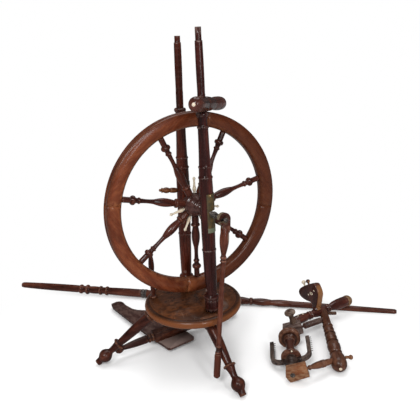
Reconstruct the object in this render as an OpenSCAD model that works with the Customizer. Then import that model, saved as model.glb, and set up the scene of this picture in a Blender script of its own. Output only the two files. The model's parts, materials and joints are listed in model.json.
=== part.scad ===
// Upright spinning wheel, partly taken down: the wheel, crank, footman and treadle
// stand in the frame, and the flyer head and the long distaff lie on the floor.
// Millimetres. +Z is up, the axle runs along Y with the crank toward -Y, and the
// origin is on the table's top face, midway between the two wheel posts.

/* [Table] */
// Radius of the round table
table_r = 139; // [130:1:150]
// Thickness of the table
table_t = 24; // [20:1:28]
// How far the table's centre lies to the left of the posts
table_shift_x = 15; // [8:1:20]
// How far the table's centre lies behind the axle's middle
table_shift_y = 9; // [4:1:12]

/* [Wheel] */
// Outer radius of the wheel
wheel_r = 250; // [244:1:254]
// Radial depth of the rim
rim_depth = 39; // [34:1:42]
// Width of the rim along the axle
rim_w = 34; // [30:1:36]
// Depth of the drive cord's groove
cord_groove = 5; // [3:0.5:6]
// Height of the axle above the table
axle_z = 281; // [278:1:286]
// Radius of the iron axle
axle_r = 6; // [5:0.5:7]
// Radius of the hub's ball
hub_r = 33; // [30:1:35]
// Radius of a spoke's tenon
spoke_tenon_r = 6; // [5:0.5:6.5]

/* [Posts] */
// Distance between the two posts at the table
post_gap = 156; // [152:1:160]
// Radius of a post behind its bearing
post_r = 18; // [17:0.5:19]
// Height of a post's shoulder above the table
post_h = 700; // [680:5:720]
// Inward lean of each post, in degrees
post_lean = 0.95; // [0:0.05:1.2]
// Radius of the tenon on top of a post
top_tenon_r = 7.5; // [6.5:0.5:8]
// Radius of a post's slim upper shaft
post_top_r = 9.8; // [9:0.2:10.4]
// Height of the swivel arm's collar above the wheel
collar_rise = 3; // [2:0.5:8]
// Thickness of the brass bearing plates
brass_t = 1.5; // [1:0.1:2]

/* [Legs] */
// Length of a leg below the table, along its axis
leg_len = 227; // [220:1:230]
// Outward reach of a leg between the table and the floor
leg_splay = 178; // [172:1:184]
// Distance from the table's centre to the foot of the left leg
left_foot_r = 286; // [282:1:290]
// Distance from the table's centre to the foot of the front leg
front_foot_r = 258; // [254:1:262]
// Distance from the table's centre to the foot of the rear leg
rear_foot_r = 244; // [240:1:248]
// Radius of the tenon that fits the table
leg_tenon_r = 8; // [7:0.5:8.5]

/* [Crank and footman] */
// Throw of the crank
crank_throw = 22.6; // [20:0.2:24]
// Radius of the crank pin
crank_pin_r = 4.5; // [4:0.1:5]
// Length of the footman from the crank pin to its foot
footman_len = 422; // [410:1:424]
// Radius of the footman's shaft
footman_r = 6.3; // [5.5:0.1:6.6]

/* [Treadle] */
// Distance along a leg from its foot to the treadle's pivot
pivot_s = 40; // [38:1:42]
// Width of the treadle bar's square part
bar_sq = 28; // [26:1:30]
// Thickness of the treadle board
board_t = 8; // [6:0.5:9]
// Radius of the treadle's pivot pins
pivot_r = 3; // [2.5:0.25:3.5]

/* [Swivel arm] */
// Length of the arm from its ball's centre to its far end
arm_len = 218; // [210:1:230]
// Radius of the arm
arm_r = 18.5; // [17:0.5:19]

/* [Distaff] */
// Length of the distaff as it lies
distaff_len = 1362; // [1330:2:1380]
// Radius of the distaff's ferrule
ferrule_r = 15.5; // [14.5:0.5:16]

/* [Flyer head] */
// Distance between the head's two bearing blocks
head_span = 196; // [190:1:202]
// Radius of the flyer's iron spindle
spindle_r = 4; // [3.5:0.25:4.5]
// Radius of the whorl
whorl_r = 32; // [30:0.5:32]
// Radius of the bobbin's flange
flange_r = 28; // [26:0.5:28]
// Half the width between the flyer's outer faces
flyer_half_w = 58; // [55:1:60]
// Radius of the head bar's rounded end
bulb_r = 21.5; // [20:0.5:22]

/* [Fits] */
// Radial clearance of every turning fit
run_fit = 0.05; // [0.03:0.01:0.08]
// Gap at every glued or pegged seat
seat_gap = 0.1; // [0.05:0.05:0.2]

/* [Hidden] */
$fn = 48;

leg_drop = sqrt(leg_len * leg_len - leg_splay * leg_splay);
leg_tilt = atan2(leg_splay, leg_drop);
leg_tip_r = 9;
table_h = table_t + leg_drop + leg_tip_r * sin(leg_tilt);
floor_z = -table_h;
collar_z = axle_z + wheel_r + collar_rise;
table_c = [-table_shift_x, table_shift_y, 0];
rim_in = wheel_r - rim_depth;
spoke_count = 7;
spoke_first = -90.9;
spoke_step = 360 / spoke_count;
felloe_first = -100;
felloe_cut = 0.06;
post_y = post_gap / 2;
post_twist = 0.34;
bore_r = axle_r + run_fit;

// ---------- turned work ----------

// A bead of width w and height h at z on a shaft of radius r
function bead(z, w, r, h, n = 6) =
    [for (i = [0:n]) [z - w / 2 * cos(180 * i / n), r + h * sin(180 * i / n)]];

// A swell (or, with a negative h, a cove) from radius r0 at z0 to r1 at z1
function swell(z0, r0, z1, r1, h, n = 8) =
    [for (i = [0:n]) [z0 + (z1 - z0) * i / n, r0 + (r1 - r0) * i / n + h * sin(180 * i / n)]];

// A solid turned on the Z axis from a list of [height, radius]
module turned(p) {
    last = len(p) - 1;
    rotate_extrude()
        polygon(concat([[0, p[0][0]]], [for (q = p) [q[1], q[0]]], [[0, p[last][0]]]));
}

// Points Z along +Y
module along_y() {
    rotate([-90, 0, 0])
        children();
}

// Points Z along a compass bearing (0 is +Y, 90 is +X), dipping below the horizontal
module aim(bearing, dip = 0) {
    rotate([0, 0, -bearing])
        rotate([-90 - dip, 0, 0])
            children();
}

// ---------- table and legs ----------

edge_r = table_t / 2;
flat_r = table_r - edge_r;
leg_tenon_len = 11;
left_leg_a = 163.8;
front_leg_a = -89;
rear_leg_a = 30;
mortise_r = 14;
mortise_depth = 12;
drum_r = post_r + 1;
foot_let = 1.2;

// Places a leg's foot at the origin of its own frame, with Z up along the leg
module leg_frame(foot_r, a) {
    translate(table_c)
        rotate([0, 0, a])
            translate([foot_r, 0, -table_t - leg_drop])
                rotate([0, -leg_tilt, 0])
                    children();
}

module each_leg_frame() {
    leg_frame(left_foot_r, left_leg_a)
        children();
    leg_frame(front_foot_r, front_leg_a)
        children();
    leg_frame(rear_foot_r, rear_leg_a)
        children();
}

module table() {
    color("saddlebrown")
        difference() {
            translate([table_c[0], table_c[1], -table_t])
                rotate_extrude()
                    difference() {
                        union() {
                            square([flat_r, table_t]);
                            translate([flat_r, edge_r])
                                circle(r = edge_r);
                        }
                        translate([flat_r - 2, table_t + 0.6])
                            circle(r = 2);
                    }
            each_leg_frame()
                translate([0, 0, leg_len - 20])
                    cylinder(r = leg_tenon_r + seat_gap, h = leg_tenon_len + 17);
            for (side = [-1, 1]) {
                post_frame(side)
                    translate([0, 0, -mortise_depth])
                        cylinder(r = mortise_r + seat_gap, h = mortise_depth + 10);
                translate([0, side * post_y, -foot_let])
                    cylinder(r = drum_r + 2 * seat_gap, h = 10);
            }
            translate([column_x, column_y, -column_tenon])
                cylinder(r = column_tenon_r + seat_gap, h = column_tenon + 10);
            translate([column_x, column_y, -foot_let])
                cylinder(r = column_foot_r + seat_gap, h = 10);
        }
}

leg_profile = concat(
    [[0, leg_tip_r], [12, leg_tip_r + 1]],
    swell(13, 10.5, 49, 9, 9.2, 12),
    swell(52, 8.7, 78, 13, -1),
    bead(82, 6, 14.5, 3),
    [[86, 10.5]],
    swell(88, 10.2, 196, 16, 0.9),
    bead(201, 8, 16.5, 2.5),
    [[207, 16.5]]
);

// A splayed leg: its upper end is cut level where it meets the table
module leg(foot_r, a) {
    difference() {
        intersection() {
            leg_frame(foot_r, a)
                turned(concat(leg_profile, [[leg_len + 30, 16.5]]));
            translate([-400, -400, floor_z])
                cube([800, 800, table_h - table_t - seat_gap]);
        }
        treadle_frame()
            translate([0, 0, -pin_reach])
                cylinder(r = pivot_r + run_fit, h = pivot_span + 2 * pin_reach);
    }
    leg_frame(foot_r, a)
        translate([0, 0, leg_len - 10])
            cylinder(r = leg_tenon_r, h = leg_tenon_len + 6);
}

module left_leg() {
    color("sienna")
        leg(left_foot_r, left_leg_a);
}

module front_leg() {
    color("sienna")
        leg(front_foot_r, front_leg_a);
}

module rear_leg() {
    color("sienna")
        leg(rear_foot_r, rear_leg_a);
}

column_x = -110;
column_y = 75;
column_h = 148;
column_tenon = 14;
column_tenon_r = 6;
column_foot_r = 10.5;

module small_column() {
    color("sienna")
        translate([column_x, column_y, 0])
            turned(concat(
                [[-column_tenon + 1, column_tenon_r], [seat_gap - foot_let, column_tenon_r]],
                [[seat_gap - foot_let, column_foot_r], [4, column_foot_r], [6, 6.5]],
                swell(8, 6, 60, 5.5, 1.5),
                bead(64, 6, 5.5, 2.5),
                swell(70, 5, 128, 5.5, 3),
                bead(133, 6, 5.5, 2.5),
                [[139, 4.5], [144, 6.5], [column_h, 4]]
            ));
}

// ---------- posts ----------

// The turned pattern was set out on a post with its collar at this height
collar_drawn = 534;
function set_out(z) = z * collar_z / collar_drawn;

post_lower = concat(
    [[-foot_let - 1, drum_r], [33, drum_r]],
    bead(38, 10, post_r + 0.5, 2.2),
    [[46, post_r - 3]],
    swell(50, post_r - 3, set_out(172), post_r - 0.4, 0.4),
    bead(set_out(176), 6, post_r - 0.4, 1.6),
    swell(set_out(182), post_r - 0.6, set_out(215), post_r, 0),
    swell(set_out(345), post_r, set_out(368), post_r - 0.8, 0),
    bead(set_out(372), 6, post_r - 1, 1.8),
    swell(set_out(378), post_r - 1.6, set_out(395), post_r - 2, 0),
    bead(set_out(399), 5, post_r - 2.2, 1.6),
    swell(set_out(404), post_r - 2.8, collar_z - 41, post_r - 4.9, -0.4),
    bead(collar_z - 36, 6, post_r - 5, 1.8),
    swell(collar_z - 31, post_r - 6.2, collar_z - 13, post_r - 5.4, -0.6)
);

post_upper = concat(
    bead(collar_z - 5, 10, post_r - 4.5, 2.6),
    [[collar_z, post_top_r], [collar_z + 42, post_top_r]],
    swell(collar_z + 46, post_top_r - 0.4, post_h - 8, post_top_r - 0.4, 0.4),
    [[post_h, post_top_r - 0.6], [post_h, top_tenon_r]]
);

// Stands Z up along a post's axis; side -1 is the front post and 1 the back post
module post_frame(side) {
    translate([0, side * post_y, 0])
        rotate([side * post_lean, side * post_twist, 0])
            children();
}

// The bearing slot, open toward +X, that the axle lifts out of
module bearing_slot() {
    translate([0, -post_gap, axle_z])
        along_y()
            cylinder(r = bore_r, h = 2 * post_gap);
    translate([0, -post_gap, axle_z - bore_r])
        cube([40, 2 * post_gap, 2 * bore_r]);
}

module post(side, tenon_len) {
    difference() {
        post_frame(side)
            turned(concat(post_lower, post_upper, [[post_h + tenon_len, top_tenon_r]]));
        translate([-2 * drum_r, side * post_y - 2 * drum_r, seat_gap - foot_let - 2 * drum_r])
            cube([4 * drum_r, 4 * drum_r, 2 * drum_r]);
        bearing_slot();
    }
    post_frame(side)
        translate([0, 0, -mortise_depth + 1])
            cylinder(r = mortise_r, h = mortise_depth + 8);
}

front_tenon_len = 30;
back_tenon_len = 16;

module front_post() {
    color("firebrick")
        post(-1, front_tenon_len);
}

keeper_r = 5;
keeper_dz = 24;
keeper_depth = 13;

module back_post() {
    color("firebrick")
        difference() {
            post(1, back_tenon_len);
            keeper_frame()
                translate([0, 0, -keeper_depth - seat_gap])
                    cylinder(r = keeper_r + seat_gap, h = 40);
        }
}

// A curved brass plate that faces the axle's bearing on one post
plate_low = 228;
plate_high = 331;

module bearing_plate(side, first_a) {
    difference() {
        post_frame(side)
            rotate([0, 0, first_a])
                translate([0, 0, plate_low])
                    rotate_extrude(angle = 176)
                        translate([post_r + seat_gap, 0])
                            square([brass_t, plate_high - plate_low]);
        bearing_slot();
    }
}

module front_bearing() {
    color("darkgoldenrod")
        bearing_plate(-1, -118);
}

module back_bearing() {
    color("darkgoldenrod")
        bearing_plate(1, -58);
}

// Points Z out of the back post toward -X, above the axle
module keeper_frame() {
    translate([1, post_y * 0.94, axle_z + keeper_dz])
        aim(-90, -9)
            children();
}

module back_keeper() {
    color("sienna")
        keeper_frame()
            turned(concat(
                [[-keeper_depth, keeper_r], [19, keeper_r], [21, 6.4]],
                swell(22, 7, 38, 7, 0.5),
                [[40, 5.6]],
                swell(42, 6, 62, 5, 2.8),
                bead(64, 3, 5, 2.2),
                [[66, 2.6]],
                swell(67, 2.8, 73, 2, 1.8, 6)
            ));
}

// ---------- wheel ----------

half_rim = rim_w / 2;
rim_profile = [
    [rim_in, -half_rim + 8], [rim_in + 7, -half_rim + 1.2], [rim_in + 10, -half_rim + 1.2],
    [rim_in + 11.5, -half_rim + 0.2], [rim_in + 21, -half_rim], [wheel_r - 8, -half_rim + 0.3],
    [wheel_r - 7, -half_rim + 1.2], [wheel_r - 4, -half_rim + 1], [wheel_r - 1.5, -half_rim + 2.4],
    [wheel_r, -half_rim + 6], [wheel_r, -6], [wheel_r - 1, -5],
    [wheel_r - cord_groove, -1.5], [wheel_r - cord_groove, 1.5],
    [wheel_r - 1, 5], [wheel_r, 6], [wheel_r, half_rim - 6], [wheel_r - 1.5, half_rim - 2.4],
    [wheel_r - 4, half_rim - 1], [wheel_r - 8, half_rim], [rim_in + 11, half_rim],
    [rim_in + 7, half_rim - 1.2], [rim_in, half_rim - 8]
];

// Points Z out from the axle along the wheel's plane, a degrees from +X toward +Z
module radial(a) {
    translate([0, 0, axle_z])
        rotate([0, 90 - a, 0])
            children();
}

module rim_mortises() {
    for (i = [0:spoke_count - 1])
        radial(spoke_first + i * spoke_step)
            translate([0, 0, spoke_end - 5])
                cylinder(r = spoke_tenon_r + seat_gap, h = spoke_tenon_len + seat_gap + 5);
}

spoke_tenon_len = 11;
spoke_end = rim_in - 0.4;

// One quarter of the rim
module felloe(i) {
    color("peru")
        difference() {
            translate([0, 0, axle_z])
                along_y()
                    rotate([0, 0, -felloe_first - 90 * i + felloe_cut])
                        rotate_extrude(angle = 90 - 2 * felloe_cut)
                            polygon(rim_profile);
            rim_mortises();
        }
}

module felloe_1() {
    felloe(1);
}

module felloe_2() {
    felloe(2);
}

module felloe_3() {
    felloe(3);
}

module felloe_4() {
    felloe(4);
}

spoke_seat = sqrt(hub_r * hub_r - spoke_tenon_r * spoke_tenon_r) + 0.2;
spoke_profile = concat(
    [[spoke_seat - 12, spoke_tenon_r], [spoke_seat, spoke_tenon_r], [spoke_seat, 9]],
    swell(spoke_seat + 1, 9.4, 51, 9.8, 0.4),
    bead(57, 7, 10, 2.6),
    [[62, 8.4]],
    swell(64, 8.2, 122, 6.4, 4.2, 10),
    swell(124, 6.2, 158, 6.2, -0.9),
    bead(163, 6, 6.6, 2),
    swell(167, 6.4, 173, 7.4, 0),
    bead(180, 12, 8, 4.6),
    [[187, 7.6], [spoke_end, 7.8], [spoke_end, spoke_tenon_r], [spoke_end + spoke_tenon_len, spoke_tenon_r]]
);

module spoke(i) {
    color("maroon")
        radial(spoke_first + i * spoke_step)
            turned(spoke_profile);
}

module spoke_1() {
    spoke(0);
}

module spoke_2() {
    spoke(1);
}

module spoke_3() {
    spoke(2);
}

module spoke_4() {
    spoke(3);
}

module spoke_5() {
    spoke(4);
}

module spoke_6() {
    spoke(5);
}

module spoke_7() {
    spoke(6);
}

hub_half = 48;
hub_groove_in = 10.5;
hub_groove_out = 14;
hub_collar = concat(
    [[20, 24], [26, 22], [28, 17]],
    bead(35, 8, 14.5, 3.5),
    [[40, 14], [45, 14], [hub_half, 11]]
);

module hub() {
    color("firebrick")
        difference() {
            translate([0, 0, axle_z])
                along_y()
                    union() {
                        sphere(r = hub_r);
                        turned(hub_collar);
                        mirror([0, 0, 1])
                            turned(hub_collar);
                    }
            translate([0, -hub_half - 5, axle_z])
                along_y()
                    cylinder(r = bore_r, h = 2 * hub_half + 10);
            for (i = [0:spoke_count - 1])
                radial(spoke_first + i * spoke_step)
                    translate([0, 0, spoke_seat - 12.2])
                        cylinder(r = spoke_tenon_r + seat_gap, h = 30);
            hub_peg_holes();
            for (y = [-hub_groove_out, -hub_groove_in, hub_groove_in, hub_groove_out])
                translate([0, y, axle_z])
                    along_y()
                        difference() {
                            cylinder(r = hub_r + 1, h = 1.4, center = true);
                            cylinder(r = sqrt(hub_r * hub_r - y * y) - 1, h = 4, center = true);
                        }
        }
}

// Sectors between the spokes that still hold their bone peg
peg_sectors = [0, 3, 5, 6, 1];
peg_tenon_r = 2.4;
peg_seat = hub_r - 0.6;

module hub_peg_holes() {
    for (k = peg_sectors)
        radial(spoke_first + (k + 0.5) * spoke_step)
            translate([0, 0, peg_seat - 8.2])
                cylinder(r = peg_tenon_r + seat_gap, h = 20);
}

module hub_pegs() {
    color("ivory")
        for (k = peg_sectors)
            radial(spoke_first + (k + 0.5) * spoke_step)
                turned(concat(
                    [[peg_seat - 8, peg_tenon_r], [peg_seat + 1, peg_tenon_r]],
                    swell(peg_seat + 2, 3, 52, 3.4, 1.9),
                    swell(54, 3.2, 68, 2.6, 0),
                    swell(69, 2.6, 77, 1.6, 1.9, 6)
                ));
}

// ---------- axle, crank and footman ----------

axle_back = post_y + 16;
crank_a = -30;
crank_y = -post_y - 26;
crank_t = 7;
axle_front = crank_y - crank_t;
crank_x = crank_throw * cos(crank_a);
crank_z = axle_z + crank_throw * sin(crank_a);
pin_len = 22;

module axle() {
    color("dimgray")
        translate([0, axle_front, axle_z])
            along_y()
                cylinder(r = axle_r, h = axle_back - axle_front);
}

module crank() {
    color("dimgray") {
        difference() {
            translate([0, crank_y, axle_z])
                rotate([90, -crank_a, 0])
                    linear_extrude(height = crank_t)
                        union() {
                            circle(r = axle_r + 2.4);
                            translate([crank_throw, 0])
                                circle(r = crank_pin_r + 3);
                            polygon([[0, -axle_r - 1], [crank_throw, -crank_pin_r - 1.5],
                                     [crank_throw, crank_pin_r + 1.5], [0, axle_r + 1]]);
                        }
            translate([0, crank_y - crank_t - 1, axle_z])
                along_y()
                    cylinder(r = bore_r, h = crank_t + 2);
        }
        translate([crank_x, crank_y - crank_t - pin_len, crank_z])
            along_y()
                turned([[0, crank_pin_r + 0.4], [1, crank_pin_r + 1.2], [3, crank_pin_r + 1.2],
                        [3, crank_pin_r], [pin_len + 2, crank_pin_r]]);
    }
}

hook_t = 13;
footman_y = crank_y - crank_t - 3 - hook_t / 2;
hook_r = 17;
hook_band = 8;
hook_dish = 3;
shaft_off = 5.4;
footman_tilt = 9.8;
footman_lean = 7.5;
foot_top = 357;
foot_r = 8.9;

// The footman's own frame: the crank pin at its origin, the shaft hanging along -Z
module footman_frame() {
    translate([crank_x, footman_y, crank_z])
        rotate([-footman_lean, footman_tilt, 0])
            children();
}

module footman() {
    color("brown")
        difference() {
            footman_frame() {
                translate([0, hook_t / 2, 0])
                    rotate([90, 0, 0])
                        linear_extrude(height = hook_t)
                            difference() {
                                union() {
                                    circle(r = hook_r);
                                    polygon([[-4, -10], [hook_r - 0.5, 4], [hook_r + 1, -24],
                                             [shaft_off + 11, -34], [shaft_off - 9, -34]]);
                                }
                                rotate([0, 0, 200])
                                    translate([0, -crank_pin_r - run_fit])
                                        square([hook_r + 10, 2 * (crank_pin_r + run_fit)]);
                            }
                translate([shaft_off, 0, 0])
                    turned(concat(
                        [[-foot_top - 12, 4], [-foot_top + 0.2, 4], [-foot_top + 0.2, footman_r + 1]],
                        bead(-353, 5, footman_r, 1.6),
                        swell(-349, footman_r, -340, footman_r, 0),
                        bead(-336, 5, footman_r, 1.6),
                        swell(-331, footman_r, -114, footman_r, 0.3),
                        bead(-109, 6, footman_r, 2),
                        bead(-100, 8, footman_r, 2.2),
                        [[-93, footman_r]],
                        swell(-90, 6.6, -22, 9, 4.4, 10)
                    ));
            }
            footman_frame()
                translate([0, -hook_t / 2 - 1, 0])
                    along_y()
                        cylinder(r = hook_r - hook_band, h = hook_dish + 1);
            translate([crank_x, -post_gap - 60, crank_z])
                along_y()
                    cylinder(r = crank_pin_r + run_fit, h = post_gap);
        }
}

module footman_foot() {
    color("brown")
        footman_frame()
            translate([shaft_off, 0, 0])
                difference() {
                    turned(concat(
                        swell(-footman_len, 4.4, -footman_len + 8, foot_r, 1.6),
                        [[-foot_top - 3, foot_r], [-foot_top - 0.2, foot_r - 0.7]]
                    ));
                    translate([0, 0, -foot_top - 12.5])
                        cylinder(r = 4 + seat_gap, h = 20);
                }
}

// ---------- treadle ----------

// Where the pivot line meets the axes of the left and rear legs
function on_leg(foot_r, a) = let(r = foot_r - leg_splay * pivot_s / leg_len)
    [table_c[0] + r * cos(a), table_c[1] + r * sin(a),
     -table_t - leg_drop + leg_drop * pivot_s / leg_len];

pivot_a = on_leg(left_foot_r, left_leg_a);
pivot_b = on_leg(rear_foot_r, rear_leg_a);
pivot_span = norm(pivot_b - pivot_a);
pivot_bearing = atan2(pivot_b[0] - pivot_a[0], pivot_b[1] - pivot_a[1]);
pin_reach = 5;
end_gap = 24;
pin_socket = 19;

// Z runs along the pivot line from the left leg to the rear leg, -Y is up
module treadle_frame() {
    translate(pivot_a)
        aim(pivot_bearing)
            children();
}

turned_end = concat(
    [[end_gap, 7]],
    swell(end_gap + 1, 8.5, end_gap + 21, 8, 4),
    [[end_gap + 24, 6.8]],
    swell(end_gap + 27, 7.4, end_gap + 98, 12, 1.2),
    [[end_gap + 101, 9]],
    bead(end_gap + 107, 9, 10.5, 3),
    bead(end_gap + 117, 9, 10.5, 3),
    [[end_gap + 124, 11]]
);
square_from = end_gap + 122;

module treadle_bar() {
    color("sienna")
        treadle_frame()
            difference() {
                union() {
                    turned(turned_end);
                    translate([0, 0, pivot_span])
                        mirror([0, 0, 1])
                            turned(turned_end);
                    translate([-bar_sq / 2, -bar_sq / 2, square_from])
                        cube([bar_sq, bar_sq, pivot_span - 2 * square_from]);
                }
                translate([0, 0, end_gap - 1])
                    cylinder(r = pivot_r + seat_gap, h = pin_socket + 1);
                translate([0, 0, pivot_span - end_gap - pin_socket])
                    cylinder(r = pivot_r + seat_gap, h = pin_socket + 1);
            }
}

module treadle_pins() {
    color("dimgray")
        treadle_frame() {
            translate([0, 0, -pin_reach + 1])
                cylinder(r = pivot_r, h = end_gap + pin_socket + pin_reach - 2);
            translate([0, 0, pivot_span - end_gap - pin_socket + 1])
                cylinder(r = pivot_r, h = end_gap + pin_socket + pin_reach - 2);
        }
}

// Outline of the board, as [distance along the bar, distance behind the bar]
board_outline = [
    [163, -61], [168, -64], [251, -60], [256, -55], [254, -20], [242, 80], [230, 139], [211, 182],
    [189, 202], [178, 220], [170, 259], [171, 283], [166, 295], [154, 301], [133, 297],
    [128, 273], [147, 42]
];

module treadle_board() {
    color("dimgray")
        translate(pivot_a)
            rotate([0, 0, 90 - pivot_bearing])
                translate([0, 0, -bar_sq / 2 - board_t - seat_gap])
                    linear_extrude(height = board_t)
                        polygon(board_outline);
}

// ---------- swivel arm ----------

arm_bearing = 46;
arm_dip = 4.5;
arm_ball = 42;
arm_z = collar_z + arm_r + 1.4;

// Z runs along the arm, with the post's axis through its origin
module arm_frame() {
    post_frame(-1)
        translate([0, 0, arm_z])
            aim(arm_bearing, arm_dip)
                children();
}

arm_tail = arm_len - arm_ball;

module swivel_arm() {
    color("maroon")
        difference() {
            arm_frame()
                difference() {
                    turned(concat(
                        [for (a = [-90:15:0]) [-arm_ball + arm_r * sin(a), arm_r * cos(a)]],
                        [[8, arm_r], [9, arm_r - 1], [10.5, arm_r - 1], [11, arm_r], [13.5, arm_r]],
                        [[14, arm_r - 1], [15.5, arm_r - 1], [16.5, arm_r]],
                        swell(20, arm_r, 56, arm_r - 0.8, 0.3),
                        swell(58, arm_r - 1.2, 78, arm_r - 3, -0.6),
                        [[83, arm_r - 3.4]],
                        swell(88, arm_r - 3, arm_tail - 56, arm_r - 0.4, 0.4),
                        [[arm_tail - 54, arm_r - 1.4], [arm_tail - 51, arm_r - 1.4]],
                        swell(arm_tail - 49, arm_r - 0.4, arm_tail - 16, arm_r - 1, 0.5),
                        [for (a = [15:15:90])
                            [arm_tail - 16 + 16 * sin(a), (arm_r - 1) * cos(a)]]
                    ));
                    translate([0, 0, -arm_ball - arm_r - 1])
                        cylinder(r = button_r + seat_gap, h = 7);
                }
            post_frame(-1)
                translate([0, 0, arm_z - 30])
                    cylinder(r = post_top_r + run_fit, h = 60);
        }
}

button_r = 4.5;

module arm_button() {
    color("ivory")
        arm_frame()
            translate([0, 0, -arm_ball - arm_r])
                turned(concat(
                    swell(-1.6, 1.5, 0.4, button_r, 0.8, 4),
                    [[5.6, button_r]]
                ));
}

// ---------- distaff ----------

distaff_bead_at = 268;
distaff_bead_r = 18;
distaff_swell_at = 880;
distaff_swell_r = 12.7;
distaff_dip = atan2(distaff_bead_r - distaff_swell_r, distaff_swell_at - distaff_bead_at);
distaff_x = -396;
distaff_y = 716;
distaff_bearing = 130.2;
distaff_joint = 490;

// Z runs along the distaff from its upper end at the left; it lies on a bead and a swell
module distaff_frame() {
    translate([distaff_x, distaff_y, floor_z + distaff_bead_r + distaff_bead_at * tan(distaff_dip)])
        aim(distaff_bearing, distaff_dip)
            children();
}

module distaff_upper() {
    color("firebrick")
        distaff_frame()
            turned(concat(
                [[0, 8.5], [6, 10]],
                swell(12, 10.5, 225, 13.5, 1),
                bead(243, 12, 13, 4),
                swell(251, 12.5, 259, 12.5, 0),
                bead(distaff_bead_at, 12, 13, distaff_bead_r - 13),
                swell(277, 12.5, 312, 13, 1),
                bead(320, 10, 13, 3.5),
                swell(327, 12, 337, 12.5, 0),
                bead(345, 10, 13, 3.5),
                swell(352, 13, distaff_joint - 12, 14.5, 0.6),
                [[distaff_joint - 10, 12], [distaff_joint - 0.2, 12]]
            ));
}

module distaff_ferrule() {
    color("dimgray")
        distaff_frame()
            translate([0, 0, distaff_joint - 9.8])
                difference() {
                    turned(concat(
                        [[0, ferrule_r - 0.6], [1, ferrule_r]],
                        [[7, ferrule_r], [8, ferrule_r - 0.8], [11, ferrule_r - 0.8], [12, ferrule_r]],
                        [[18.6, ferrule_r], [19.6, ferrule_r - 0.6]]
                    ));
                    translate([0, 0, -1])
                        cylinder(r = 12 + seat_gap, h = 30);
                }
}

module distaff_lower() {
    color("firebrick")
        distaff_frame()
            turned(concat(
                [[distaff_joint + 0.2, 12], [distaff_joint + 10, 12], [distaff_joint + 10.2, 14]],
                swell(distaff_joint + 12, 14, 815, 13, 0.6),
                swell(820, 10.5, 868, 10.5, 2.6),
                bead(distaff_swell_at, 12, 9.5, distaff_swell_r - 9.5),
                swell(888, 9.6, 948, 10, 2.8),
                swell(952, 9.6, 1010, 11, 1.8),
                swell(1014, 10.6, distaff_len - 6, 8, 0.4),
                [[distaff_len, 6]]
            ));
}

// ---------- flyer head, lying on the floor ----------

head_bearing_a = 34.6;
head_rise = 2.83;
spindle_x = 137.5;
spindle_y = -260.6;
spindle_z = floor_z + 24.98;
block_t = 16;
block_roll = 17.5;
block_up = 22.5;
block_right = 41.5;

// Outline of a bearing block about the spindle, as [right, up]
block_outline = [[-12, block_up], [-19.5, -2], [-12, -22], [block_right, -17], [block_right, block_up]];

// Z runs along the spindle from the near block to the far block, X to its right, -Y up
module head_frame() {
    translate([spindle_x, spindle_y, spindle_z])
        aim(head_bearing_a, -head_rise)
            children();
}

// Unit vectors along, beside and above a line with this bearing and dip
function along(b, dip) = [sin(b) * cos(dip), cos(b) * cos(dip), -sin(dip)];
function beside(b) = [cos(b), -sin(b), 0];
function above(b, dip) = cross(beside(b), along(b, dip));

// A point of a rolled bearing block: right and up across it, and along the spindle
function block_at(right, up, t) = [spindle_x, spindle_y, spindle_z]
    + (right * cos(block_roll) - up * sin(block_roll)) * beside(head_bearing_a)
    + (right * sin(block_roll) + up * cos(block_roll)) * above(head_bearing_a, -head_rise)
    + t * along(head_bearing_a, -head_rise);

// A bearing block, leaning on one corner, with the spindle's hole through it
module bearing_block(t0) {
    head_frame()
        rotate([0, 0, -block_roll])
            translate([0, 0, t0 - block_t / 2])
                difference() {
                    mirror([0, 1])
                        linear_extrude(height = block_t)
                            polygon(block_outline);
                    translate([0, 0, -1])
                        cylinder(r = spindle_r + run_fit, h = block_t + 2);
                }
}

maiden_tenon_r = 4;
maiden_end_r = 5;

module near_bearing() {
    color("peru")
        difference() {
            bearing_block(0);
            maiden_frame(near_maiden_pos, near_maiden_b, near_maiden_dip)
                translate([0, 0, -maiden_in - seat_gap])
                    cylinder(r = maiden_tenon_r + seat_gap, h = 40);
        }
}

module far_bearing() {
    color("rosybrown")
        difference() {
            bearing_block(head_span);
            maiden_frame(far_maiden_pos, far_maiden_b, far_maiden_dip)
                translate([0, 0, -maiden_in - seat_gap])
                    cylinder(r = maiden_tenon_r + seat_gap, h = 40);
            knob_frame()
                translate([0, 0, -14])
                    cylinder(r = knob_stem_r + run_fit, h = 30);
        }
}

knob_stem_r = 5;
knob_right = 21;

module knob_frame() {
    head_frame()
        rotate([0, 0, -block_roll])
            translate([knob_right, -block_up, head_span])
                rotate([90, 0, 0])
                    children();
}

module tension_knob() {
    color("rosybrown")
        knob_frame()
            turned(concat(
                [[-13, knob_stem_r], [0.4, knob_stem_r], [0.4, 7.5], [3, 8]],
                swell(5, 6.6, 22, 6.2, -0.8),
                swell(24, 7, 32, 13, -1.5, 6),
                [[33, 15], [34.5, 16], [38, 16]],
                swell(39, 15.6, 43, 9, 1.2, 4)
            ));
}

cross_len = 246;
cross_bearing = 87;
cross_x = 284;
cross_y = -80;
cross_z = floor_z + 44;
joint_at = 122.5;
joint_drop = 3;
bulb_z = floor_z + bulb_r + 0.3;
bar_len = 262;
bar_end_r = 13;
bar_bearing = 31.5;
bar_rise = asin((cross_z - joint_drop - bulb_z) / bar_len);
bar_from = [cross_x, cross_y, cross_z - joint_drop] + joint_at * along(cross_bearing, 0)
    - bar_len * along(bar_bearing, -bar_rise);

bar_tenon_r = 8;

// Z runs along the head bar from the centre of its rounded end to the crossbar
module bar_frame() {
    translate(bar_from)
        aim(bar_bearing, -bar_rise)
            children();
}

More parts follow.
